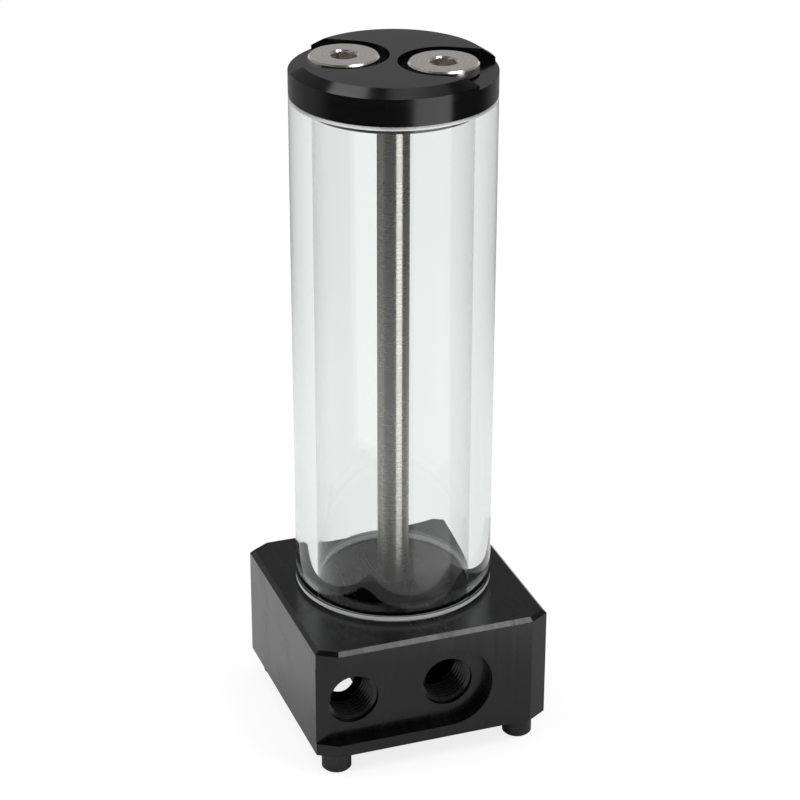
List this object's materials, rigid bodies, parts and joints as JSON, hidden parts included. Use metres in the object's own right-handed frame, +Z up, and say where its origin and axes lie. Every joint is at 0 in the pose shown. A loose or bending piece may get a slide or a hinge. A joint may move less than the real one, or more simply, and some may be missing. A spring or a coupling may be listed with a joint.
{
  "type": "coolant pump reservoir",
  "caption": "Tall clear tube clamped by a central rod between a machined black pump base with threaded side ports and a screw cap with filling plugs.",
  "frame": {"origin": "centre of the base, on the plane that the four feet stand on", "axes": "+Z up along the clear tube, -Y out of the face with the two side ports, +X to the right as seen from that face"},
  "size_m": [0.0614, 0.061, 0.1755],
  "materials": {
    "anodised": "black anodised, satin",
    "glass": "clear borosilicate with ground rims",
    "steel": "drawn stainless bar",
    "nickel": "nickel plated, satin",
    "rubber": "matt",
    "silicone": "translucent white",
    "foot": "black, matt"
  },
  "bodies": {
    "reservoir": {"base_block": "anodised", "glass_tube": "glass", "tie_rod": "steel", "lower_seal": "silicone", "pump_ring": "rubber", "foot_front_left": "foot", "foot_front_right": "foot", "foot_rear_left": "foot", "foot_rear_right": "foot"},
    "cap_travel": {"upper_seal": "silicone"},
    "cap": {"top_cap": "anodised"},
    "left_plug_travel": {"left_plug_ring": "rubber"},
    "left_plug_screw": {"left_plug": "nickel"},
    "right_plug_travel": {"right_plug_ring": "rubber"},
    "right_plug_screw": {"right_plug": "nickel"}
  },
  "joints": [
    {"name": "cap_lift", "type": "slide", "parent": "reservoir", "child": "cap_travel", "axis": [0, 0, 1], "range_m": [0, 0.0065]},
    {"name": "cap_turn", "type": "hinge", "parent": "cap_travel", "child": "cap", "pos_m": [0.0002, 0.0023, 0.1671], "axis": [0, 0, 1], "range_deg": [0, 2345]},
    {"name": "left_plug_lift", "type": "slide", "parent": "cap", "child": "left_plug_travel", "axis": [0, 0, 1], "range_m": [0, 0.007]},
    {"name": "left_plug_turn", "type": "hinge", "parent": "left_plug_travel", "child": "left_plug_screw", "pos_m": [-0.01005, 0.00853, 0.1727], "axis": [0, 0, 1], "range_deg": [0, 1890]},
    {"name": "right_plug_lift", "type": "slide", "parent": "cap", "child": "right_plug_travel", "axis": [0, 0, 1], "range_m": [0, 0.007]},
    {"name": "right_plug_turn", "type": "hinge", "parent": "right_plug_travel", "child": "right_plug_screw", "pos_m": [0.01045, -0.00393, 0.1727], "axis": [0, 0, 1], "range_deg": [0, 1890]}
  ],
  "couplings": [
    {"joint": "cap_turn", "follows": "cap_lift", "rad_per_m": 6283.2},
    {"joint": "left_plug_turn", "follows": "left_plug_lift", "rad_per_m": 4699.5},
    {"joint": "right_plug_turn", "follows": "right_plug_lift", "rad_per_m": 4699.5}
  ]
}
